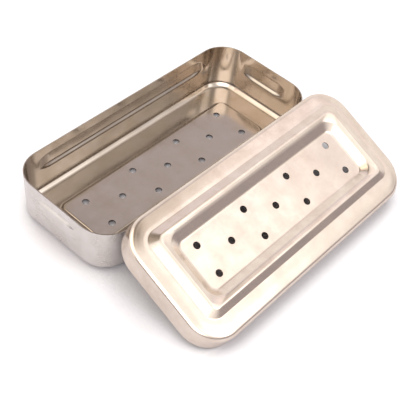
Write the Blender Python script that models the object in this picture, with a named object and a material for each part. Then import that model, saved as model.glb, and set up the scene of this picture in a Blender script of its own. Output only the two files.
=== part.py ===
"""Perforated instrument box: a deep-drawn steel box with a lift-off lid.

Two sheet pressings make the whole object. Each is lofted through rounded outlines that
follow a bent strip, given the sheet's thickness, and punched with three rows of holes.
The lid is off and leans on the box: one skirt's edge lies on the box's rim, the
opposite one stands on the table.

X runs along the box, Y across it and +Z is up. The origin is on the table, under the
middle of the pair.
"""
import math

import bmesh
import bpy
from mathutils import Matrix, Vector

MM = 0.001

# Sheet and perforation, alike on both pressings
SHEET = 0.6 * MM
HOLE_DIAMETER = 4.1 * MM
CLEARANCE = 0.3 * MM
CUT_OVERRUN = 3.0 * MM

# Box, outside sizes at the rim
BOX_LENGTH = 170.0 * MM
BOX_WIDTH = 72.0 * MM
BOX_HEIGHT = 29.8 * MM
BOX_CORNER_RADIUS = 17.0 * MM
BOX_WALL_LEAN = 1.1 * MM

# Box base: a tight bend, a hollow cove, a flat ring to stand on, a raised panel
BASE_BEND_RADIUS = 1.6 * MM
BASE_COVE_WIDTH = 3.6 * MM
BASE_COVE_HEIGHT = 3.0 * MM
BASE_COVE_RADIUS = 8.0 * MM
BOX_PANEL_LENGTH = 133.0 * MM
BOX_PANEL_WIDTH = 34.0 * MM
BOX_PANEL_CORNER_RADIUS = 3.8 * MM
BOX_PANEL_RISE = 1.5 * MM
BOX_STEP_WIDTH = 1.5 * MM
BOX_STEP_RADIUS = 0.9 * MM
BOX_HOLE_PITCH = 36.3 * MM
BOX_ROW_PITCH = 10.4 * MM

# Stiffening beads, one pressed outwards in each wall of the box
BEAD_HEIGHT = 10.6 * MM
BEAD_DEPTH = 1.4 * MM
BEAD_FLANK = 2.0 * MM
BEAD_MIDDLE_HEIGHT = 19.4 * MM
BEAD_CORNER_GAP = 0.4 * MM

# Lid, outside sizes
LID_LENGTH = 171.8 * MM
LID_WIDTH = 75.3 * MM
LID_CORNER_RADIUS = 18.5 * MM
LID_SKIRT_HEIGHT = 12.9 * MM
LID_SKIRT_FLARE = 0.3 * MM
LID_EDGE_RADIUS = 3.0 * MM

# Lid top: gently domed border, raised ring a little nearer the box, recessed panel
BORDER_DROP = 0.9 * MM
BORDER_CROWN_INSET = 6.5 * MM
BORDER_RADIUS = 40.0 * MM
RING_FOOT_LENGTH = 154.4 * MM
RING_FOOT_WIDTH = 53.4 * MM
RING_SHIFT = 0.8 * MM
RING_CORNER_RADIUS = 6.0 * MM
RING_RISE = 2.4 * MM
RING_FLANK_WIDTH = 3.8 * MM
RING_END_FLANK_WIDTH = 6.6 * MM
RING_FOOT_RADIUS = 1.0 * MM
RING_CREST_RADIUS = 2.6 * MM
LID_PANEL_LENGTH = 126.0 * MM
LID_PANEL_WIDTH = 29.6 * MM
LID_PANEL_CORNER_RADIUS = 3.6 * MM
LID_PANEL_DROP = 1.8 * MM
LID_SLOPE_WIDTH = 5.8 * MM
LID_SLOPE_RADIUS = 5.0 * MM
LID_HOLE_PITCH = 35.9 * MM
LID_ROW_PITCH = 8.8 * MM

# How the lid leans on the box
LID_SHIFT = 3.0 * MM
LID_RIM_SEAT = 1.3 * MM

# Counts: facets on corners, bends and holes, and holes in each row
CORNER_STEPS = 8
BEND_STEPS = 3
COVE_STEPS = 4
HOLE_SIDES = 20
ROW_HOLES = (4, 3, 4)

# Where rows and columns of facets cross a bead's flank, from its outline inwards
BEAD_FLANK_shares = (0.0, 0.35, 0.7, 1.0)


def clear_scene():
    """Start from an empty scene."""
    for item in list(bpy.data.objects):
        bpy.data.objects.remove(item, do_unlink=True)


def steel(name, colour, roughness):
    """A polished stainless steel finish."""
    material = bpy.data.materials.new(name)
    material.use_nodes = True
    shader = material.node_tree.nodes["Principled BSDF"]
    shader.inputs["Base Color"].default_value = (*colour, 1.0)
    shader.inputs["Metallic"].default_value = 1.0
    shader.inputs["Roughness"].default_value = roughness
    material.diffuse_color = (*colour, 1.0)
    return material


def bent_strip(knees):
    """Points along a strip of sheet seen edge on, its knees rounded by arcs.

    A knee is (inset, height, bend radius, facets); the ends have no bend.
    """
    points = [Vector(knees[0][:2])]
    for before, knee, after in zip(knees, knees[1:], knees[2:]):
        corner = Vector(knee[:2])
        back = (Vector(before[:2]) - corner).normalized()
        ahead = (Vector(after[:2]) - corner).normalized()
        half_angle = back.angle(ahead) / 2
        reach = knee[2] / math.tan(half_angle)
        centre = corner + (back + ahead).normalized() * (knee[2] / math.sin(half_angle))
        start = corner + back * reach - centre
        turn = start.angle_signed(corner + ahead * reach - centre)
        for step in range(knee[3] + 1):
            points.append(centre + Matrix.Rotation(-turn * step / knee[3], 2) @ start)
    points.append(Vector(knees[-1][:2]))
    return points


def between(knots, value):
    """Read a list of (position, value) knots at one position, in straight runs."""
    for (low, first), (high, last) in zip(knots, knots[1:]):
        if value <= high:
            return first + (last - first) * max(0.0, (value - low) / (high - low))
    return knots[-1][1]


def outline(half_length, half_width, radius, height, column_shares):
    """One closed outline: four round corners and the straight sides between them.

    column_shares gives the facet columns on a long and on a short side, as shares of
    the side's straight half.
    """
    straight = (half_length - radius, half_width - radius)
    points = []
    for quarter in range(4):
        along = Vector((math.cos(quarter * math.pi / 2), math.sin(quarter * math.pi / 2)))
        up = Vector((-along.y, along.x))
        sides = straight if quarter % 2 == 0 else straight[::-1]
        corner = along * sides[0] + up * sides[1]
        for step in range(CORNER_STEPS + 1):
            angle = math.pi / 2 * step / CORNER_STEPS
            points.append(corner + (along * math.cos(angle) + up * math.sin(angle)) * radius)
        for share in column_shares[quarter % 2]:
            points.append(corner + up * radius - along * sides[0] * (1 - share))
    return [Vector((point.x, point.y, height)) for point in points]


def loft(outlines):
    """A sheet drawn from one outline to the next, the last one filled, seen from above."""
    mesh = bmesh.new()
    ring = [mesh.verts.new(point) for point in outlines[0]]
    edges = [mesh.edges.new(pair) for pair in zip(ring, ring[1:] + ring[:1])]
    for points in outlines[1:]:
        grown = bmesh.ops.extrude_edge_only(mesh, edges=edges)["geom"]
        fresh = {item for item in grown if isinstance(item, bmesh.types.BMVert)}
        edges = [item for item in grown
                 if isinstance(item, bmesh.types.BMEdge) and fresh.issuperset(item.verts)]
        ring = [next(end for edge in corner.link_edges
                     if (end := edge.other_vert(corner)) in fresh)
                for corner in ring]
        for corner, point in zip(ring, points):
            corner.co = point
    panel = bmesh.ops.contextual_create(mesh, geom=edges)["faces"][0]
    bmesh.ops.recalc_face_normals(mesh, faces=mesh.faces)
    panel.normal_update()
    if panel.normal.z < 0:
        bmesh.ops.reverse_faces(mesh, faces=mesh.faces)
    return mesh


def new_object(name, mesh):
    """Put a bmesh into the scene under a name."""
    data = bpy.data.meshes.new(name)
    mesh.to_mesh(data)
    mesh.free()
    item = bpy.data.objects.new(name, data)
    bpy.context.collection.objects.link(item)
    return item


def hole_punches(name, pitch, row_pitch, height):
    """The punches for three staggered rows of holes, as one cutter."""
    mesh = bmesh.new()
    for row, count in enumerate(ROW_HOLES):
        for place in range(count):
            x = (place - (count - 1) / 2) * pitch
            y = (row - (len(ROW_HOLES) - 1) / 2) * row_pitch
            bmesh.ops.create_cone(
                mesh, cap_ends=True, segments=HOLE_SIDES,
                radius1=HOLE_DIAMETER / 2, radius2=HOLE_DIAMETER / 2,
                depth=SHEET + 2 * CUT_OVERRUN, matrix=Matrix.Translation((x, y, height)))
    punches = new_object(name, mesh)
    punches.hide_render = True
    punches.display_type = "WIRE"
    return punches


def press(name, mesh, punches, material):
    """Give the sheet its thickness below the modelled side and punch its holes."""
    item = new_object(name, mesh)
    item.data.materials.append(material)
    thickness = item.modifiers.new("sheet", "SOLIDIFY")
    thickness.thickness = SHEET
    thickness.offset = -1.0
    thickness.use_even_offset = True
    punching = item.modifiers.new("holes", "BOOLEAN")
    punching.operation = "DIFFERENCE"
    punching.solver = "EXACT"
    punching.object = punches
    punches.parent = item
    item.data.shade_smooth()
    item.data.set_sharp_from_angle(angle=math.radians(40))
    return item


def bead_depth(along, height, straight):
    """How far a wall is pressed outwards at a place along it and above the table."""
    spine = straight - BEAD_CORNER_GAP - BEAD_HEIGHT / 2
    off_spine = math.hypot(max(0.0, abs(along) - spine), height - BEAD_MIDDLE_HEIGHT)
    share = (BEAD_HEIGHT / 2 - off_spine) / BEAD_FLANK
    share = min(1.0, max(0.0, share))
    return BEAD_DEPTH * share * share * (3 - 2 * share)


def bead_columns(straight):
    """Facet columns over a bead, as shares of the wall's straight half."""
    tip = straight - BEAD_CORNER_GAP
    places = [tip - BEAD_FLANK * share for share in BEAD_FLANK_shares]
    places.append(tip - BEAD_HEIGHT / 2)
    shares = [place / straight for place in places]
    return shares + [-share for share in reversed(shares)]


def box_strip():
    """The inside face of the box wall and base, from the rim to the panel's edge."""
    floor = SHEET
    cove_top = floor + BASE_COVE_HEIGHT
    cove_end = SHEET + BOX_WALL_LEAN + BASE_COVE_WIDTH
    panel_edge = (BOX_WIDTH - BOX_PANEL_WIDTH) / 2
    strip = bent_strip([
        (SHEET, BOX_HEIGHT, 0, 0),
        (SHEET + BOX_WALL_LEAN, cove_top, BASE_BEND_RADIUS, BEND_STEPS),
        (cove_end, floor, BASE_COVE_RADIUS, COVE_STEPS),
        (panel_edge - BOX_STEP_WIDTH, floor, BOX_STEP_RADIUS, BEND_STEPS),
        (panel_edge, floor + BOX_PANEL_RISE, BOX_STEP_RADIUS, BEND_STEPS),
        (panel_edge + BOX_STEP_WIDTH, floor + BOX_PANEL_RISE, 0, 0),
    ])
    rows = [BEAD_HEIGHT / 2 - BEAD_FLANK * share for share in BEAD_FLANK_shares]
    rows += [-row for row in reversed(rows)]
    wall = []
    for row in rows:
        share = (BOX_HEIGHT - BEAD_MIDDLE_HEIGHT - row) / (BOX_HEIGHT - strip[1].y)
        wall.append(strip[0].lerp(strip[1], share))
    return strip[:1] + wall + strip[1:]


def box_outlines():
    """Outlines of the box's inside face, with the beads pressed into its walls."""
    panel_edge = (BOX_WIDTH - BOX_PANEL_WIDTH) / 2
    panel_edge_end = (BOX_LENGTH - BOX_PANEL_LENGTH) / 2
    cove_end = SHEET + BOX_WALL_LEAN + BASE_COVE_WIDTH
    ends = [
        (0.0, 0.0),
        (cove_end, cove_end),
        (panel_edge, panel_edge_end),
        (panel_edge + BOX_STEP_WIDTH, panel_edge_end + BOX_STEP_WIDTH),
    ]
    radii = [
        (0.0, BOX_CORNER_RADIUS),
        (cove_end, BOX_CORNER_RADIUS - cove_end),
        (panel_edge - BOX_STEP_WIDTH, BOX_PANEL_CORNER_RADIUS + BOX_STEP_WIDTH),
        (panel_edge, BOX_PANEL_CORNER_RADIUS),
        (panel_edge + BOX_STEP_WIDTH, BOX_PANEL_CORNER_RADIUS),
    ]
    straight = (BOX_LENGTH / 2 - BOX_CORNER_RADIUS, BOX_WIDTH / 2 - BOX_CORNER_RADIUS)
    columns = [bead_columns(straight[0]), bead_columns(straight[1])]
    result = []
    for inset, height in box_strip():
        points = outline(BOX_LENGTH / 2 - between(ends, inset), BOX_WIDTH / 2 - inset,
                         between(radii, inset), height, columns)
        if abs(height - BEAD_MIDDLE_HEIGHT) < BEAD_HEIGHT / 2:
            for point in points:
                if abs(point.x) < straight[0]:
                    point.y += math.copysign(bead_depth(point.x, height, straight[0]), point.y)
                elif abs(point.y) < straight[1]:
                    point.x += math.copysign(bead_depth(point.y, height, straight[1]), point.x)
        result.append(points)
    return result


def lid_strip():
    """The outside face of the lid, from the skirt's edge to the panel, the border's crown at zero."""
    foot = (LID_WIDTH - RING_FOOT_WIDTH) / 2
    panel_edge = (LID_WIDTH - LID_PANEL_WIDTH) / 2
    slope = panel_edge - LID_SLOPE_WIDTH
    return bent_strip([
        (0.0, -LID_SKIRT_HEIGHT, 0, 0),
        (LID_SKIRT_FLARE, -BORDER_DROP, LID_EDGE_RADIUS, BEND_STEPS + 1),
        (BORDER_CROWN_INSET, 0.0, BORDER_RADIUS, BEND_STEPS),
        (foot, 0.0, RING_FOOT_RADIUS, BEND_STEPS),
        (foot + RING_FLANK_WIDTH, RING_RISE, RING_CREST_RADIUS, BEND_STEPS),
        (slope, RING_RISE, RING_CREST_RADIUS, BEND_STEPS),
        (panel_edge, -LID_PANEL_DROP, LID_SLOPE_RADIUS, BEND_STEPS),
        (panel_edge + LID_SLOPE_RADIUS, -LID_PANEL_DROP, 0, 0),
    ])


def lid_outlines():
    """Outlines of the lid's outside face; its ring is wider across the two ends."""
    border = LID_SKIRT_FLARE + LID_EDGE_RADIUS
    foot = (LID_WIDTH - RING_FOOT_WIDTH) / 2
    foot_end = (LID_LENGTH - RING_FOOT_LENGTH) / 2
    flank = foot + RING_FLANK_WIDTH
    panel_edge = (LID_WIDTH - LID_PANEL_WIDTH) / 2
    panel_edge_end = (LID_LENGTH - LID_PANEL_LENGTH) / 2
    slope = panel_edge - LID_SLOPE_WIDTH
    ends = [
        (0.0, 0.0),
        (border, border),
        (foot - RING_FOOT_RADIUS, foot_end - RING_FOOT_RADIUS),
        (flank, foot_end + RING_END_FLANK_WIDTH),
        (slope, panel_edge_end - LID_SLOPE_WIDTH),
        (panel_edge + LID_SLOPE_RADIUS, panel_edge_end + LID_SLOPE_RADIUS),
    ]
    radii = [
        (0.0, LID_CORNER_RADIUS),
        (border, LID_CORNER_RADIUS - border),
        (foot - RING_FOOT_RADIUS, RING_CORNER_RADIUS + RING_FOOT_RADIUS),
        (flank, RING_CORNER_RADIUS - RING_FLANK_WIDTH),
        (slope, LID_PANEL_CORNER_RADIUS + LID_SLOPE_WIDTH),
        (panel_edge, LID_PANEL_CORNER_RADIUS),
        (panel_edge + LID_SLOPE_RADIUS, LID_PANEL_CORNER_RADIUS),
    ]
    shifts = [
        (BORDER_CROWN_INSET, 0.0),
        (foot - RING_FOOT_RADIUS, RING_SHIFT),
        (slope, RING_SHIFT),
        (panel_edge, 0.0),
    ]
    result = []
    for inset, height in lid_strip():
        points = outline(LID_LENGTH / 2 - between(ends, inset), LID_WIDTH / 2 - inset,
                         between(radii, inset), height, [[], []])
        aside = Vector((0, between(shifts, inset), 0))
        result.append([point + aside for point in points])
    return result


def lean_lid(lid):
    """Stand one skirt's edge on the table and lay the opposite one on the box's rim.

    The lid's open side faces down, so the plane of its skirt's edge runs from the table
    to a clearance above the rim's outer edge.
    """
    reach = LID_WIDTH - LID_RIM_SEAT
    tilt = math.asin(BOX_HEIGHT / math.hypot(reach, CLEARANCE)) + math.atan2(CLEARANCE, reach)
    seat = Vector((0, LID_WIDTH / 2 - LID_RIM_SEAT, -LID_SKIRT_HEIGHT - CLEARANCE))
    rim = Vector((LID_SHIFT, -BOX_WIDTH / 2, BOX_HEIGHT))
    lid.rotation_euler.x = tilt
    lid.location = rim - Matrix.Rotation(tilt, 3, "X") @ seat


def centre_pair(items):
    """Move the pair so that the origin is under the middle of its outer box."""
    bpy.context.view_layer.update()
    graph = bpy.context.evaluated_depsgraph_get()
    points = []
    for item in items:
        shape = item.evaluated_get(graph)
        points += [shape.matrix_world @ vertex.co for vertex in shape.data.vertices]
    for axis in (0, 1):
        places = [point[axis] for point in points]
        for item in items:
            item.location[axis] -= (min(places) + max(places)) / 2


def build():
    clear_scene()
    body_steel = steel("box_steel", (0.62, 0.57, 0.52), 0.22)
    lid_steel = steel("lid_steel", (0.78, 0.72, 0.64), 0.28)
    box_holes = hole_punches("box_punches", BOX_HOLE_PITCH, BOX_ROW_PITCH, SHEET + BOX_PANEL_RISE)
    lid_holes = hole_punches("lid_punches", LID_HOLE_PITCH, LID_ROW_PITCH, -LID_PANEL_DROP)
    box = press("box_body", loft(box_outlines()), box_holes, body_steel)
    lid = press("lid", loft(lid_outlines()), lid_holes, lid_steel)
    lean_lid(lid)
    centre_pair([box, lid])


build()
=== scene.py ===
"""Perforated instrument box: the looks of the pressed box and of the lid leaning on it.

Both pressings are drawn anew here with fine bends, because a mirror finish shows every
facet. Each one keeps the shape and place of the node that it replaces.
"""

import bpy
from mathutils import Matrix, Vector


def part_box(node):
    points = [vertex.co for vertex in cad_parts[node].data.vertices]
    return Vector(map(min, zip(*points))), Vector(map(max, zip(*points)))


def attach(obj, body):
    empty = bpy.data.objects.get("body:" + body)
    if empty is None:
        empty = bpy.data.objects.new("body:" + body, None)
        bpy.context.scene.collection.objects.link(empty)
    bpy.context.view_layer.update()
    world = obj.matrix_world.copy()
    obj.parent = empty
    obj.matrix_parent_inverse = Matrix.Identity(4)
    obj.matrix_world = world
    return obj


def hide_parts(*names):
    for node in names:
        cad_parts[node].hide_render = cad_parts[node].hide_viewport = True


bl_info = {
    "name": "Perforated instrument box",
    "version": (1, 0, 0),
    "blender": (4, 5, 0),
    "location": "View3D > Sidebar > Instrument box",
    "description": "Deep-drawn stainless steel instrument box with a perforated lift-off lid",
    "category": "Object",
}

import math

import bmesh
import bpy
from bpy.props import FloatProperty, FloatVectorProperty, PointerProperty
from bpy.types import Operator, Panel, PropertyGroup
from mathutils import Matrix, Vector

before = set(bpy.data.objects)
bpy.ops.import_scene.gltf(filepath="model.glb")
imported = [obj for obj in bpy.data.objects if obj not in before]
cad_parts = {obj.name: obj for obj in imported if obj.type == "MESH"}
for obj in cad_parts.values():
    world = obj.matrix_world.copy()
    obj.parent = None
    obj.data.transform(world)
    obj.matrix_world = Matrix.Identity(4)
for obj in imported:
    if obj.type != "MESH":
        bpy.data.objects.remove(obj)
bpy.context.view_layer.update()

MM = 0.001

# Rows of facets across a bead's flank, and columns along each of its ends
FLANK_STEPS = 8
END_STEPS = 20
# Facets round a corner, across a bend of the sheet and round a hole
CORNER_STEPS = 24
BEND_STEPS = 8
HOLE_SIDES = 48
# Holes in each row of a panel
ROW_HOLES = (4, 3, 4)
# How many times the sheet's thickness a punch is long
PUNCH_SHEETS = 8
# Segments of a broken edge, and how sharp an edge has to be to be broken
EDGE_SEGMENTS = 3
EDGE_ANGLE = math.radians(50)
# How much more a large facet counts than a small one beside it, where 100 is the most
FLAT_WEIGHT = 100


def linear(hex_colour):
    """An sRGB hex colour as linear red, green, blue and alpha."""
    values = []
    for place in (0, 2, 4):
        value = int(hex_colour[place:place + 2], 16) / 255
        values.append(value / 12.92 if value <= 0.04045 else ((value + 0.055) / 1.055) ** 2.4)
    return (*values, 1.0)


def length(name, description, size):
    """A size in millimetres as a property."""
    return FloatProperty(name=name, description=description, default=size * MM, unit="LENGTH", precision=5)


def colour(name, description, hex_colour):
    """A colour as a property."""
    return FloatVectorProperty(
        name=name, description=description, default=linear(hex_colour), size=4,
        subtype="COLOR", min=0.0, max=1.0)


class SheetSettings(PropertyGroup):
    """What both pressings share."""
    thickness: length("Sheet", "Thickness of the drawn sheet", 0.6)
    hole: length("Hole", "Diameter of a punched hole", 4.1)
    burr: length("Edge break", "Width of the broken edge round holes and rims", 0.12)
    clearance: length("Clearance", "Gap left where the lid touches the rim", 0.3)


class BoxSettings(PropertyGroup):
    """The lower pressing."""
    length: length("Length", "Outside length at the rim", 170.0)
    width: length("Width", "Outside width at the rim", 72.0)
    height: length("Height", "Outside height", 29.8)
    corner: length("Corner", "Corner radius at the rim", 17.0)
    lean: length("Lean", "How far a wall leans in towards its foot", 1.1)
    foot_bend: length("Foot bend", "Radius where a wall meets the cove", 3.0)
    cove_width: length("Cove width", "From a wall's foot to where the slope meets the floor", 2.5)
    cove_height: length("Cove height", "Height of the cove", 2.5)
    cove_bend: length("Cove bend", "Radius where the cove meets the floor", 3.2)
    panel_length: length("Panel length", "Length of the raised panel", 133.0)
    panel_width: length("Panel width", "Width of the raised panel", 34.0)
    panel_corner: length("Panel corner", "Corner radius of the raised panel", 3.8)
    panel_rise: length("Panel rise", "Height of the panel above the floor ring", 1.5)
    step_width: length("Step width", "Width of the step up to the panel", 1.5)
    step_bend: length("Step bend", "Radius of the step's bends", 1.7)
    pitch: length("Hole pitch", "Distance between holes in a row", 36.3)
    row_pitch: length("Row pitch", "Distance between rows of holes", 10.4)
    bead_height: length("Bead height", "Height of a wall bead", 10.6)
    bead_depth: length("Bead depth", "How far a bead stands out", 1.4)
    bead_flank: length("Bead flank", "Width of a bead's flank", 2.5)
    bead_middle: length("Bead middle", "Height of a bead's middle above the table", 19.4)
    bead_gap: length("Bead gap", "Gap between a bead's end and the corner", 0.4)
    bead_stretch: FloatProperty(
        name="Bead stretch", description="How many times longer than round a bead's ends are",
        default=2.2, min=1.0)


class LidSettings(PropertyGroup):
    """The upper pressing."""
    length: length("Length", "Outside length", 171.8)
    width: length("Width", "Outside width", 75.3)
    corner: length("Corner", "Corner radius", 18.5)
    skirt: length("Skirt", "Height of the skirt", 12.9)
    flare: length("Flare", "How far the skirt flares out", 0.3)
    edge: length("Edge", "Radius of the rounded edge", 3.0)
    border_drop: length("Border drop", "How far the border falls to the edge", 1.2)
    border_crown: length("Border crown", "How far in the border levels out", 7.0)
    border_bend: length("Border bend", "Radius of the gently domed border", 33.0)
    ring_length: length("Ring length", "Length at the foot of the raised ring", 154.4)
    ring_width: length("Ring width", "Width at the foot of the raised ring", 53.4)
    ring_shift: length("Ring shift", "How far the ring sits off the middle, towards the box", 0.8)
    ring_corner: length("Ring corner", "Corner radius of the raised ring", 7.5)
    ring_rise: length("Ring rise", "Height of the raised ring above the border", 2.4)
    flank: length("Flank", "Width of the ring's outer flank", 4.35)
    end_flank: length("End flank", "Width of the ring's outer flank at its two ends", 6.6)
    foot_bend: length("Foot bend", "Radius at the foot of the ring", 1.4)
    crest_bend: length("Crest bend", "Radius along the crest of the ring", 2.2)
    panel_length: length("Panel length", "Length of the recessed panel", 126.0)
    panel_width: length("Panel width", "Width of the recessed panel", 29.6)
    panel_corner: length("Panel corner", "Corner radius of the recessed panel", 3.6)
    panel_drop: length("Panel drop", "Depth of the panel below the border", 1.8)
    slope: length("Slope", "Width of the slope down to the panel", 4.85)
    shoulder_rise: length("Shoulder rise", "Height of the shoulder above that slope", 1.52)
    shoulder_bend: length("Shoulder bend", "Radius of that shoulder", 6.5)
    slope_bend: length("Slope bend", "Radius at the foot of the slope", 2.5)
    pitch: length("Hole pitch", "Distance between holes in a row", 35.9)
    row_pitch: length("Row pitch", "Distance between rows of holes", 8.8)
    seat: length("Rim seat", "How far in from the skirt the rim lies", 1.3)


class FinishSettings(PropertyGroup):
    """Colours of the two pressings, of their punched edges and of the floor."""
    # The box's inside colours are painted shade: darker than the outside of the same sheet, so that its
    # hollow reads dark. The stained one is a random stain on that painted shade.
    box_steel: colour("Box steel", "Polished stainless steel of the box", "B5ACA5")
    box_stain_painted_shade: colour("Box shade", "The box's steel where it is a little stained", "AFA497")
    outside_steel: colour("Outside steel", "Satin stainless steel of the box's outside", "EEEBE9")
    outside_shade: colour("Outside shade", "The outside's steel where it is a little stained", "DCD6D1")
    lid_steel: colour("Lid steel", "Satin stainless steel of the lid", "F4E9DE")
    lid_shade: colour("Lid shade", "The lid's steel where it is a little stained", "E3D3C6")
    # Punched edges: torn steel, made dull by roughness, with a dark colour that is painted shade inside
    # the holes
    cut_edge_painted_shade: colour("Cut edge", "Steel of a punched edge", "6A5F59")
    # The floor's grey shows where the painted shadow takes its added light away, also through the holes
    floor: colour("Floor", "Studio floor, before the light that it adds", "AEADB3")


class StageSettings(PropertyGroup):
    """Camera and light."""
    place: FloatVectorProperty(
        name="Camera place", description="Where the camera stands", size=3,
        default=(-0.28268, -0.195306, 0.36166), subtype="XYZ", unit="LENGTH")
    heading: FloatProperty(
        name="Heading", description="Sight line, turned from +X",
        default=math.radians(35.942), subtype="ANGLE")
    pitch: FloatProperty(
        name="Pitch", description="Sight line below the horizon",
        default=math.radians(46.642), subtype="ANGLE")
    roll: FloatProperty(
        name="Roll", description="Tilt of the camera",
        default=math.radians(8.744), subtype="ANGLE")
    lens: FloatProperty(name="Lens", description="Focal length in millimetres", default=79.35)
    floor_half: FloatProperty(
        name="Floor half", description="Half the side of the floor", default=3.0, unit="LENGTH")
    floor_front: FloatProperty(
        name="Floor front", description="Where the floor ends in front of the pair", default=-0.32,
        unit="LENGTH")
    floor_lift: FloatProperty(
        name="Floor lift", description="Light that the floor adds for the eye and for reflections",
        default=0.6, min=0.0, max=1.0)
    floor_gleam: FloatProperty(
        name="Floor gleam", description="Share of that light which reflections see",
        default=0.5, min=0.0, max=1.0)
    # Reach of the floor's painted shadow round the pieces
    floor_shade: FloatProperty(
        name="Floor shade", description="How near a piece takes the added light away", default=0.05,
        unit="LENGTH")
    backdrop: colour("Backdrop", "White paper behind the pair", "FFFAF5")
    wall: colour("Wall", "Pale wall over the backdrop", "F0E7EA")
    ceiling: colour("Ceiling", "Dim ceiling over the wall", "8A7F74")
    window: colour("Window", "Large soft window in front of the pair", "FFFAF4")
    sill: colour("Sill", "Grey wall below the window", "A0989A")
    window_light: FloatProperty(
        name="Window light", description="Brightness of the window", default=1.2, min=0.0)
    lamps: FloatProperty(
        name="Lamps", description="Strength of the soft lamps", default=1.0, min=0.0)


# Shapes


def bent_strip(knees, support):
    """Points along a strip of sheet seen edge on, its knees rounded by arcs.

    A knee is (inset, height, bend radius). Beside each arc stands a support point, so that
    the flat stretch next to it shades flat.
    """
    points = [Vector(knees[0][:2])]
    for before, knee, after in zip(knees, knees[1:], knees[2:]):
        corner = Vector(knee[:2])
        back = (Vector(before[:2]) - corner).normalized()
        ahead = (Vector(after[:2]) - corner).normalized()
        half_angle = back.angle(ahead) / 2
        reach = knee[2] / math.tan(half_angle)
        centre = corner + (back + ahead).normalized() * (knee[2] / math.sin(half_angle))
        start = corner + back * reach - centre
        turn = start.angle_signed(corner + ahead * reach - centre)
        points.append(corner + back * (reach + support))
        for step in range(BEND_STEPS + 1):
            points.append(centre + Matrix.Rotation(-turn * step / BEND_STEPS, 2) @ start)
        points.append(corner + ahead * (reach + support))
    points.append(Vector(knees[-1][:2]))
    return points


def between(knots, value):
    """Read a list of (position, value) knots at one position, in straight runs."""
    for (low, first), (high, last) in zip(knots, knots[1:]):
        if value <= high:
            return first + (last - first) * max(0.0, (value - low) / (high - low))
    return knots[-1][1]


def outline(half_length, half_width, radius, height, column_shares):
    """One closed outline: four round corners and the straight sides between them.

    Along each side stand more columns, at shares of its straight half from its middle.
    """
    straight = (half_length - radius, half_width - radius)
    points = []
    for quarter in range(4):
        along = Vector((math.cos(quarter * math.pi / 2), math.sin(quarter * math.pi / 2)))
        up = Vector((-along.y, along.x))
        sides = straight if quarter % 2 == 0 else straight[::-1]
        corner = along * sides[0] + up * sides[1]
        for step in range(CORNER_STEPS + 1):
            angle = math.pi / 2 * step / CORNER_STEPS
            points.append(corner + (along * math.cos(angle) + up * math.sin(angle)) * radius)
        for share in column_shares[quarter % 2]:
            points.append(corner + up * radius - along * sides[0] * (1 - share))
    return [Vector((point.x, point.y, height)) for point in points]


def loft(outlines):
    """A sheet drawn from one outline to the next, the last one filled, seen from above."""
    mesh = bmesh.new()
    ring = [mesh.verts.new(point) for point in outlines[0]]
    edges = [mesh.edges.new(pair) for pair in zip(ring, ring[1:] + ring[:1])]
    for points in outlines[1:]:
        grown = bmesh.ops.extrude_edge_only(mesh, edges=edges)["geom"]
        fresh = {item for item in grown if isinstance(item, bmesh.types.BMVert)}
        edges = [item for item in grown
                 if isinstance(item, bmesh.types.BMEdge) and fresh.issuperset(item.verts)]
        ring = [next(end for edge in corner.link_edges
                     if (end := edge.other_vert(corner)) in fresh)
                for corner in ring]
        for corner, point in zip(ring, points):
            corner.co = point
    panel = bmesh.ops.contextual_create(mesh, geom=edges)["faces"][0]
    bmesh.ops.recalc_face_normals(mesh, faces=mesh.faces)
    panel.normal_update()
    if panel.normal.z < 0:
        bmesh.ops.reverse_faces(mesh, faces=mesh.faces)
    return mesh


def mesh_object(name, mesh):
    """Put a bmesh into the scene under a name."""
    data = bpy.data.meshes.new(name)
    mesh.to_mesh(data)
    mesh.free()
    item = bpy.data.objects.new(name, data)
    bpy.context.collection.objects.link(item)
    return item


def hole_punches(sheet, pitch, row_pitch, height, edge):
    """The punches for three staggered rows of holes, as one cutter that leaves its material."""
    mesh = bmesh.new()
    for row, count in enumerate(ROW_HOLES):
        for place in range(count):
            x = (place - (count - 1) / 2) * pitch
            y = (row - (len(ROW_HOLES) - 1) / 2) * row_pitch
            bmesh.ops.create_cone(
                mesh, cap_ends=True, segments=HOLE_SIDES, radius1=sheet.hole / 2, radius2=sheet.hole / 2,
                depth=sheet.thickness * PUNCH_SHEETS, matrix=Matrix.Translation((x, y, height)))
    punches = mesh_object("hole_punches", mesh)
    punches.data.shade_smooth()
    punches.data.materials.append(edge)
    return punches


def press(name, mesh, punches, sheet, materials, place):
    """Give the sheet its thickness, punch it, break its edges and put it in its place.

    Of two materials, the first is the modelled face's and the second the other face's.
    """
    blank = mesh_object(name + "_blank", mesh)
    for material in materials:
        blank.data.materials.append(material)
    blank.data.shade_smooth()
    thickness = blank.modifiers.new("sheet", "SOLIDIFY")
    thickness.thickness = sheet.thickness
    thickness.offset = -1.0
    thickness.use_even_offset = True
    thickness.material_offset = len(materials) - 1
    punching = blank.modifiers.new("holes", "BOOLEAN")
    punching.operation = "DIFFERENCE"
    punching.solver = "EXACT"
    punching.material_mode = "TRANSFER"
    punching.object = punches
    breaking = blank.modifiers.new("edges", "BEVEL")
    breaking.width = sheet.burr
    breaking.segments = EDGE_SEGMENTS
    breaking.limit_method = "ANGLE"
    breaking.angle_limit = EDGE_ANGLE
    flattening = blank.modifiers.new("flats", "WEIGHTED_NORMAL")
    flattening.weight = FLAT_WEIGHT
    flattening.keep_sharp = False
    graph = bpy.context.evaluated_depsgraph_get()
    data = bpy.data.meshes.new_from_object(blank.evaluated_get(graph))
    data.transform(place)
    for spare in (blank, punches):
        bpy.data.objects.remove(spare, do_unlink=True)
    item = bpy.data.objects.new(name, data)
    bpy.context.collection.objects.link(item)
    return item


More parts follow.
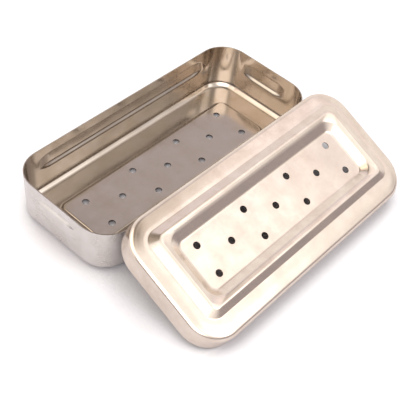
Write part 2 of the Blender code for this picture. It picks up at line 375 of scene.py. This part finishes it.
def bead_press(box, along, height, straight):
    """How far a wall is pressed outwards at a place along it and above the table.

    The press grows across the bead's flank in a soft step, level at the wall and on the bead.
    """
    spine = straight - box.bead_gap - box.bead_height / 2 * box.bead_stretch
    off_end = max(0.0, abs(along) - spine) / box.bead_stretch
    off_spine = math.hypot(off_end, height - box.bead_middle)
    share = (box.bead_height / 2 - off_spine) / box.bead_flank
    share = min(1.0, max(0.0, share))
    return box.bead_depth * share * share * (3 - 2 * share)


def bead_columns(box, straight, support):
    """Facet columns along a wall with a bead, as shares of its straight half."""
    tip = straight - box.bead_gap
    end = box.bead_height / 2 * box.bead_stretch
    places = [straight - support]
    places += [tip - end * step / END_STEPS for step in range(END_STEPS + 1)]
    shares = [place / straight for place in places]
    return shares + [-share for share in reversed(shares)]


def box_outlines(box, sheet):
    """Outlines of the box's inside face, with the beads pressed into its walls."""
    floor = sheet.thickness
    support = sheet.thickness / 2
    foot = sheet.thickness + box.lean
    cove_end = foot + box.cove_width
    panel_edge = (box.width - box.panel_width) / 2
    panel_edge_end = (box.length - box.panel_length) / 2
    strip = bent_strip([
        (sheet.thickness, box.height, 0),
        (foot, floor + box.cove_height, box.foot_bend),
        (cove_end, floor, box.cove_bend),
        (panel_edge - box.step_width, floor, box.step_bend),
        (panel_edge, floor + box.panel_rise, box.step_bend),
        (panel_edge + box.step_width, floor + box.panel_rise, 0),
    ], support)
    half = box.bead_height / 2
    rows = [half - box.bead_flank * step / FLANK_STEPS for step in range(FLANK_STEPS + 1)]
    rows += [-row for row in reversed(rows)]
    wall = []
    for row in rows:
        share = (box.height - box.bead_middle - row) / (box.height - strip[1].y)
        wall.append(strip[0].lerp(strip[1], share))
    ends = [
        (0.0, 0.0),
        (cove_end, cove_end),
        (panel_edge, panel_edge_end),
        (panel_edge + box.step_width, panel_edge_end + box.step_width),
    ]
    radii = [
        (0.0, box.corner),
        (cove_end, box.corner - cove_end),
        (panel_edge - box.step_width, box.panel_corner + box.step_width),
        (panel_edge, box.panel_corner),
        (panel_edge + box.step_width, box.panel_corner),
    ]
    straight = (box.length / 2 - box.corner, box.width / 2 - box.corner)
    columns = [bead_columns(box, side, support) for side in straight]
    result = []
    for inset, height in strip[:1] + wall + strip[1:]:
        points = outline(box.length / 2 - between(ends, inset), box.width / 2 - inset,
                         between(radii, inset), height, columns)
        if abs(height - box.bead_middle) < half:
            for point in points:
                if abs(point.x) < straight[0]:
                    point.y += math.copysign(bead_press(box, point.x, height, straight[0]), point.y)
                elif abs(point.y) < straight[1]:
                    point.x += math.copysign(bead_press(box, point.y, height, straight[1]), point.x)
        result.append(points)
    return result


def lid_outlines(lid, sheet):
    """Outlines of the lid's outside face, its border at height zero."""
    border = lid.flare + lid.edge
    foot = (lid.width - lid.ring_width) / 2
    foot_end = (lid.length - lid.ring_length) / 2
    crest = foot + lid.flank
    panel_edge = (lid.width - lid.panel_width) / 2
    panel_edge_end = (lid.length - lid.panel_length) / 2
    slope = panel_edge - lid.slope
    strip = bent_strip([
        (0.0, -lid.skirt, 0),
        (lid.flare, -lid.border_drop, lid.edge),
        (lid.border_crown, 0.0, lid.border_bend),
        (foot, 0.0, lid.foot_bend),
        (crest, lid.ring_rise, lid.crest_bend),
        (slope, lid.shoulder_rise, lid.shoulder_bend),
        (panel_edge, -lid.panel_drop, lid.slope_bend),
        (panel_edge + lid.slope, -lid.panel_drop, 0),
    ], sheet.thickness / 2)
    ends = [
        (0.0, 0.0),
        (border, border),
        (foot - lid.foot_bend, foot_end - lid.foot_bend),
        (crest, foot_end + lid.end_flank),
        (slope, panel_edge_end - lid.slope),
        (panel_edge + lid.slope, panel_edge_end + lid.slope),
    ]
    radii = [
        (0.0, lid.corner),
        (border, lid.corner - border),
        (foot - lid.foot_bend, lid.ring_corner + lid.foot_bend),
        (crest, lid.ring_corner - lid.flank),
        (slope, lid.panel_corner + lid.slope),
        (panel_edge, lid.panel_corner),
        (panel_edge + lid.slope, lid.panel_corner),
    ]
    shifts = [
        (lid.border_crown, 0.0),
        (foot - lid.foot_bend, lid.ring_shift),
        (slope, lid.ring_shift),
        (panel_edge, 0.0),
    ]
    # A column beside each corner, so that the flat stretch between them shades flat
    beside = sheet.thickness / lid.width
    columns = [[share, -share] for share in (1 - beside, 1 - beside * 2)]
    result = []
    for inset, height in strip:
        points = outline(lid.length / 2 - between(ends, inset), lid.width / 2 - inset,
                         between(radii, inset), height, columns)
        aside = Vector((0, between(shifts, inset), 0))
        result.append([point + aside for point in points])
    return result


def node_middle(node):
    """The middle of a node's box."""
    low, high = (Vector(corner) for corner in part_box(node))
    return (low + high) / 2


def lid_place(box, lid, sheet):
    """Turn the lid so that one skirt edge stands on the table and the other lies on the rim."""
    reach = lid.width - lid.seat
    tilt = (math.asin(box.height / math.hypot(reach, sheet.clearance))
            + math.atan2(sheet.clearance, reach))
    middle = node_middle("box_body")
    rim = Vector((node_middle("lid").x, middle.y - box.width / 2, box.height))
    seat = Vector((0, lid.width / 2 - lid.seat, -lid.skirt - sheet.clearance))
    turn = Matrix.Rotation(tilt, 4, "X")
    return Matrix.Translation(rim - turn @ seat) @ turn


# Materials

# A colour Mix node's sockets by their numbers, because its kinds share their names
MIX_SHARE, MIX_FIRST, MIX_LAST, MIX_RESULT = 0, 6, 7, 2
# The marks of drawing are a few tenths of a millimetre wide, too fine to show, so they are drawn
# 3 mm wide, and this many times longer
MARK_WIDTH = 3.0 * MM
MARK_STRETCH = 14
# Over what length the sheet sways, and how far
SWAY_LENGTH = 28 * MM
SWAY_DEPTH = 0.5 * MM
# Patches that handling leaves. Over the first span of their noise the colour turns to the
# stained one, and over the second the roughness goes from the first share of its value to the last
SMUDGE_WIDTH = 11 * MM
STAIN_EDGES = (0.25, 0.75)
DULL_EDGES = (0.3, 0.7)
DULL_SHARES = (0.75, 1.35)
# Grain and depth of the torn metal in a punched edge, and how rough it is
TORN_GRAIN = 0.1 * MM
TORN_DEPTH = 0.02 * MM
TORN_ROUGHNESS = 0.45
# How much open sky the floor needs for its added light to begin and to be whole; with less, that light is
# taken away as a painted shadow round and under the pieces
OPEN_EDGES = (0.46, 0.77)
OPEN_SAMPLES = 8


def add_node(tree, kind, inputs=None, **settings):
    """Add a node, set its options and fill its inputs with values or with other sockets."""
    node = tree.nodes.new(kind)
    for name, value in settings.items():
        setattr(node, name, value)
    for key, value in (inputs or {}).items():
        if isinstance(value, bpy.types.NodeSocket):
            tree.links.new(value, node.inputs[key])
        else:
            node.inputs[key].default_value = value
    return node


def blank_material(name):
    """A material with an empty node tree and its output."""
    material = bpy.data.materials.new(name)
    material.use_nodes = True
    tree = material.node_tree
    tree.nodes.clear()
    return material, tree, tree.nodes.new("ShaderNodeOutputMaterial")


def steel(name, base, shade, roughness, mark_depth):
    """Stainless sheet, deep drawn and then buffed.

    Buffing leaves a mirror that handling clouds a little: patches about a finger wide are
    warmer and duller than the rest. Drawing the sheet over the punch leaves it swaying, which
    bends what it mirrors, and leaves fine marks that run up the walls.
    """
    material, tree, out = blank_material(name)
    place = add_node(tree, "ShaderNodeTexCoord").outputs["Object"]
    drawn = add_node(tree, "ShaderNodeMapping", {"Vector": place, "Scale": (1, 1, 1 / MARK_STRETCH)})
    marks = add_node(tree, "ShaderNodeTexNoise", {
        "Vector": drawn.outputs["Vector"], "Scale": 1 / MARK_WIDTH, "Detail": 3.0, "Roughness": 0.55})
    sway = add_node(tree, "ShaderNodeTexNoise", {"Vector": place, "Scale": 1 / SWAY_LENGTH, "Detail": 1.0})
    smudge = add_node(tree, "ShaderNodeTexNoise", {
        "Vector": place, "Scale": 1 / SMUDGE_WIDTH, "Detail": 4.0, "Roughness": 0.6}).outputs["Fac"]
    stain = add_node(tree, "ShaderNodeMapRange", {
        "Value": smudge, "From Min": STAIN_EDGES[0], "From Max": STAIN_EDGES[1]})
    tint = add_node(tree, "ShaderNodeMix", {
        MIX_SHARE: stain.outputs[0], MIX_FIRST: base, MIX_LAST: shade}, data_type="RGBA")
    rough = add_node(tree, "ShaderNodeMapRange", {
        "Value": smudge, "From Min": DULL_EDGES[0], "From Max": DULL_EDGES[1],
        "To Min": roughness * DULL_SHARES[0], "To Max": roughness * DULL_SHARES[1]})
    waves = add_node(tree, "ShaderNodeBump", {
        "Height": sway.outputs["Fac"], "Distance": SWAY_DEPTH, "Strength": 1.0})
    lines = add_node(tree, "ShaderNodeBump", {
        "Height": marks.outputs["Fac"], "Distance": mark_depth, "Strength": 1.0,
        "Normal": waves.outputs["Normal"]})
    shader = add_node(tree, "ShaderNodeBsdfPrincipled", {
        "Base Color": tint.outputs[MIX_RESULT], "Metallic": 1.0, "Roughness": rough.outputs["Result"],
        "Normal": lines.outputs["Normal"]})
    tree.links.new(shader.outputs["BSDF"], out.inputs["Surface"])
    return material


def polished_stainless_painted_shade(finish):
    """The box's inside, buffed to a mirror: its walls mirror each other nearly sharply. Its colours are
    painted shade, darker than the outside of the same sheet.
    """
    return steel("polished_stainless_painted_shade", finish.box_steel, finish.box_stain_painted_shade,
                 roughness=0.16, mark_depth=0.006 * MM)


def satin_stainless_outside(finish):
    """The box's outside, only brushed over, so what it mirrors blurs into bands. It is paler than the
    inside, whose colours are painted shade.
    """
    return steel("satin_stainless_outside", finish.outside_steel, finish.outside_shade,
                 roughness=0.22, mark_depth=0.008 * MM)


def satin_stainless(finish):
    """The lid, buffed less than the box: pale and warm, with soft bright bands along its bends."""
    return steel("satin_stainless", finish.lid_steel, finish.lid_shade,
                 roughness=0.20, mark_depth=0.005 * MM)


def cut_steel_painted_shade(name, base):
    """Stainless steel sheared by a punch.

    The torn grain of the cut scatters light, so a hole's wall looks dull. Its dark colour is painted
    shade inside the hole. The grain shows only as that dullness, so it keeps its real size.
    """
    material, tree, out = blank_material(name)
    place = add_node(tree, "ShaderNodeTexCoord").outputs["Object"]
    torn = add_node(tree, "ShaderNodeTexNoise", {"Vector": place, "Scale": 1 / TORN_GRAIN, "Detail": 2.0})
    lines = add_node(tree, "ShaderNodeBump", {
        "Height": torn.outputs["Fac"], "Distance": TORN_DEPTH, "Strength": 1.0})
    shader = add_node(tree, "ShaderNodeBsdfPrincipled", {
        "Base Color": base, "Metallic": 1.0, "Roughness": TORN_ROUGHNESS,
        "Normal": lines.outputs["Normal"]})
    tree.links.new(shader.outputs["BSDF"], out.inputs["Surface"])
    return material


def floor_paint(stage, finish):
    """Matt studio floor: its matt part takes the real shadow, and its added light makes it white for the
    eye. Ambient occlusion fades that added light near the pieces and takes it away under them: a painted
    shadow, also seen through the holes.
    """
    material, tree, out = blank_material("floor_paint")
    path = add_node(tree, "ShaderNodeLightPath")
    passed = add_node(tree, "ShaderNodeMath", {
        0: path.outputs["Is Camera Ray"], 1: path.outputs["Is Transmission Ray"]}, operation="MAXIMUM")
    seen = add_node(tree, "ShaderNodeMath", {
        0: path.outputs["Is Glossy Ray"], 1: stage.floor_gleam, 2: passed.outputs[0]},
        operation="MULTIPLY_ADD").outputs[0]
    open_sky = add_node(tree, "ShaderNodeAmbientOcclusion", {"Distance": stage.floor_shade},
                        samples=OPEN_SAMPLES)
    # Painted shadow: the floor's added light fades where a piece is near, and is gone under the pieces and
    # in the holes
    glow_with_painted_shadow = add_node(tree, "ShaderNodeMapRange", {
        "Value": open_sky.outputs["AO"], "From Min": OPEN_EDGES[0], "From Max": OPEN_EDGES[1],
        "To Max": stage.floor_lift})
    lift = add_node(tree, "ShaderNodeMath", {0: seen, 1: glow_with_painted_shadow.outputs[0]}, operation="MULTIPLY")
    matt = add_node(tree, "ShaderNodeBsdfDiffuse", {"Color": finish.floor})
    glow = add_node(tree, "ShaderNodeEmission", {"Color": (1, 1, 1, 1), "Strength": lift.outputs[0]})
    both = add_node(tree, "ShaderNodeAddShader", {0: matt.outputs[0], 1: glow.outputs[0]})
    tree.links.new(both.outputs[0], out.inputs["Surface"])
    return material


# Studio


def sine(degrees):
    """The height of a unit direction that climbs by an angle."""
    return math.sin(math.radians(degrees))


def direction(azimuth, elevation):
    """A unit vector from degrees turned from +X and degrees above the horizon."""
    across, up = math.radians(azimuth), math.radians(elevation)
    return Vector((math.cos(across) * math.cos(up), math.sin(across) * math.cos(up), math.sin(up)))


# The studio's parts by their directions, in degrees: where its rear half faces, how far behind
# its middle plane it begins, and the heights between which one part gives way to the next
REAR_AZIMUTH = 70
REAR_EDGES = (-9, 2)
BACKDROP_TOP = (34, 39)
WALL_TOP = (48, 61)
SILL_TOP = (5, 44)
# Each soft lamp's azimuth and elevation, how many degrees from its middle its core and its soft
# rim end, its strength and its colour
SOFT_LAMPS = (
    (-66, 42, 6, 20, 1.6, "FFFFFF"),
    (-29, 52, 2, 11, 0.35, "FFFFFF"),
    (-3, 58, 5, 17, 0.55, "FFF6EC"),
    (134, 48, 14, 34, 1.9, "FFF0DA"),
    (-146, 40, 14, 30, 3.2, "FFFAF4"),
)


def give_way(tree, value, edges, first, last):
    """One part of the studio that gives way to another, softly between two heights of a value."""
    share = add_node(tree, "ShaderNodeMapRange", {
        "Value": value, "From Min": sine(edges[0]), "From Max": sine(edges[1])},
        interpolation_type="SMOOTHSTEP")
    both = add_node(tree, "ShaderNodeMix", {
        MIX_SHARE: share.outputs[0], MIX_FIRST: first, MIX_LAST: last}, data_type="RGBA")
    return both.outputs[MIX_RESULT]


def add_lamp(tree, room, look, lamp, brightness):
    """Add a soft lamp to the studio."""
    azimuth, elevation, core, rim, strength, hue = lamp
    aim = add_node(tree, "ShaderNodeVectorMath", {0: look, 1: direction(azimuth, elevation)},
                   operation="DOT_PRODUCT")
    beam = add_node(tree, "ShaderNodeMapRange", {
        "Value": aim.outputs["Value"], "From Min": sine(90 - rim), "From Max": sine(90 - core)},
        interpolation_type="SMOOTHSTEP")
    power = add_node(tree, "ShaderNodeMath", {0: beam.outputs[0], 1: brightness * strength},
                     operation="MULTIPLY")
    lit = add_node(tree, "ShaderNodeMix", {
        MIX_SHARE: power.outputs[0], MIX_FIRST: room, MIX_LAST: linear(hue)},
        data_type="RGBA", blend_type="ADD", clamp_factor=False)
    return lit.outputs[MIX_RESULT]


def studio_world(stage):
    """A studio as metal sees it: paper and a wall behind, a window in front, and soft lamps.

    The eye sees plain white all round.
    """
    world = bpy.data.worlds.new("studio")
    world.use_nodes = True
    tree = world.node_tree
    tree.nodes.clear()
    look = add_node(tree, "ShaderNodeTexCoord").outputs["Generated"]
    height = add_node(tree, "ShaderNodeSeparateXYZ", {0: look}).outputs["Z"]
    rear = give_way(tree, height, BACKDROP_TOP, stage.backdrop, stage.wall)
    rear = give_way(tree, height, WALL_TOP, rear, stage.ceiling)
    window = [stage.window_light * part for part in stage.window[:3]] + [1]
    front = give_way(tree, height, SILL_TOP, stage.sill, window)
    behind = add_node(tree, "ShaderNodeVectorMath", {0: look, 1: direction(REAR_AZIMUTH, 0)},
                      operation="DOT_PRODUCT").outputs["Value"]
    room = give_way(tree, behind, REAR_EDGES, front, rear)
    for lamp in SOFT_LAMPS:
        room = add_lamp(tree, room, look, lamp, stage.lamps)
    eye = add_node(tree, "ShaderNodeLightPath").outputs["Is Camera Ray"]
    seen = add_node(tree, "ShaderNodeMix", {
        MIX_SHARE: eye, MIX_FIRST: room, MIX_LAST: (1, 1, 1, 1)}, data_type="RGBA")
    background = add_node(tree, "ShaderNodeBackground", {
        "Color": seen.outputs[MIX_RESULT], "Strength": 1.0})
    add_node(tree, "ShaderNodeOutputWorld", {"Surface": background.outputs[0]})
    return world


def studio_floor(stage, finish):
    """The floor, a plain sheet that ends in front of the pair."""
    mesh = bmesh.new()
    bmesh.ops.create_grid(
        mesh, x_segments=1, y_segments=1, size=stage.floor_half,
        matrix=Matrix.Translation((0, stage.floor_half + stage.floor_front, 0)))
    floor = mesh_object("studio_floor", mesh)
    floor.data.materials.append(floor_paint(stage, finish))
    return floor


def photo_camera(stage):
    """The camera, from its place, the turn and pitch of its sight line, and its roll."""
    lens = bpy.data.cameras.new("photo_camera")
    lens.lens = stage.lens
    camera = bpy.data.objects.new("photo_camera", lens)
    bpy.context.scene.collection.objects.link(camera)
    flat = math.cos(stage.pitch)
    sight = Vector((math.cos(stage.heading) * flat, math.sin(stage.heading) * flat,
                    -math.sin(stage.pitch)))
    right = sight.cross(Vector((0, 0, 1))).normalized()
    up = right.cross(sight)
    axes = Matrix((right, up, -sight)).transposed().to_4x4()
    camera.matrix_world = (Matrix.Translation(stage.place) @ axes
                           @ Matrix.Rotation(stage.roll, 4, "Z"))
    return camera


# Operators


class INSTRUMENTBOX_OT_box(Operator):
    """Press the box with its beads, cove and raised perforated panel"""
    bl_idname = "instrumentbox.box"
    bl_label = "Box"

    def execute(self, context):
        scene = context.scene
        box, sheet, finish = scene.instrument_box, scene.instrument_sheet, scene.instrument_finish
        punches = hole_punches(sheet, box.pitch, box.row_pitch, sheet.thickness + box.panel_rise,
                               cut_steel_painted_shade("punched_steel_painted_shade_box", finish.cut_edge_painted_shade))
        middle = node_middle("box_body")
        piece = press("box_pressing", loft(box_outlines(box, sheet)), punches, sheet,
                      [polished_stainless_painted_shade(finish), satin_stainless_outside(finish)],
                      Matrix.Translation((middle.x, middle.y, 0)))
        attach(piece, "box")
        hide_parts("box_body")
        return {"FINISHED"}


class INSTRUMENTBOX_OT_lid(Operator):
    """Press the lid with its skirt, raised ring and recessed perforated panel"""
    bl_idname = "instrumentbox.lid"
    bl_label = "Lid"

    def execute(self, context):
        scene = context.scene
        box, lid, sheet = scene.instrument_box, scene.instrument_lid, scene.instrument_sheet
        finish = scene.instrument_finish
        punches = hole_punches(sheet, lid.pitch, lid.row_pitch, -lid.panel_drop,
                               cut_steel_painted_shade("punched_steel_painted_shade_lid", finish.cut_edge_painted_shade))
        piece = press("lid_pressing", loft(lid_outlines(lid, sheet)), punches, sheet,
                      [satin_stainless(finish)], lid_place(box, lid, sheet))
        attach(piece, "lid")
        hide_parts("lid")
        return {"FINISHED"}


class INSTRUMENTBOX_OT_stage(Operator):
    """Lay the floor, light the pair and set the camera"""
    bl_idname = "instrumentbox.stage"
    bl_label = "Stage"

    def execute(self, context):
        scene = context.scene
        stage, finish = scene.instrument_stage, scene.instrument_finish
        scene.view_settings.view_transform = "Standard"
        studio_floor(stage, finish)
        scene.world = studio_world(stage)
        scene.camera = photo_camera(stage)
        return {"FINISHED"}


class INSTRUMENTBOX_PT_panel(Panel):
    """Sizes and colours of the instrument box"""
    bl_idname = "INSTRUMENTBOX_PT_panel"
    bl_label = "Instrument box"
    bl_space_type = "VIEW_3D"
    bl_region_type = "UI"
    bl_category = "Instrument box"

    def draw(self, context):
        for title, group, operator in (
                ("Sheet", "instrument_sheet", None),
                ("Box", "instrument_box", "instrumentbox.box"),
                ("Lid", "instrument_lid", "instrumentbox.lid"),
                ("Finish", "instrument_finish", None),
                ("Stage", "instrument_stage", "instrumentbox.stage")):
            column = self.layout.column(align=True)
            column.label(text=title)
            settings = getattr(context.scene, group)
            for name in settings.bl_rna.properties.keys():
                if name not in ("rna_type", "name"):
                    column.prop(settings, name)
            if operator:
                column.operator(operator)


SETTINGS = {
    "instrument_sheet": SheetSettings,
    "instrument_box": BoxSettings,
    "instrument_lid": LidSettings,
    "instrument_finish": FinishSettings,
    "instrument_stage": StageSettings,
}
CLASSES = (*SETTINGS.values(), INSTRUMENTBOX_OT_box, INSTRUMENTBOX_OT_lid,
           INSTRUMENTBOX_OT_stage, INSTRUMENTBOX_PT_panel)


def register():
    for cls in CLASSES:
        bpy.utils.register_class(cls)
    for name, cls in SETTINGS.items():
        setattr(bpy.types.Scene, name, PointerProperty(type=cls))


def unregister():
    for name in SETTINGS:
        delattr(bpy.types.Scene, name)
    for cls in reversed(CLASSES):
        bpy.utils.unregister_class(cls)


def main():
    """Make the stage and both pressings."""
    register()
    bpy.ops.instrumentbox.stage()
    bpy.ops.instrumentbox.box()
    bpy.ops.instrumentbox.lid()


if __name__ == "__main__":
    main()
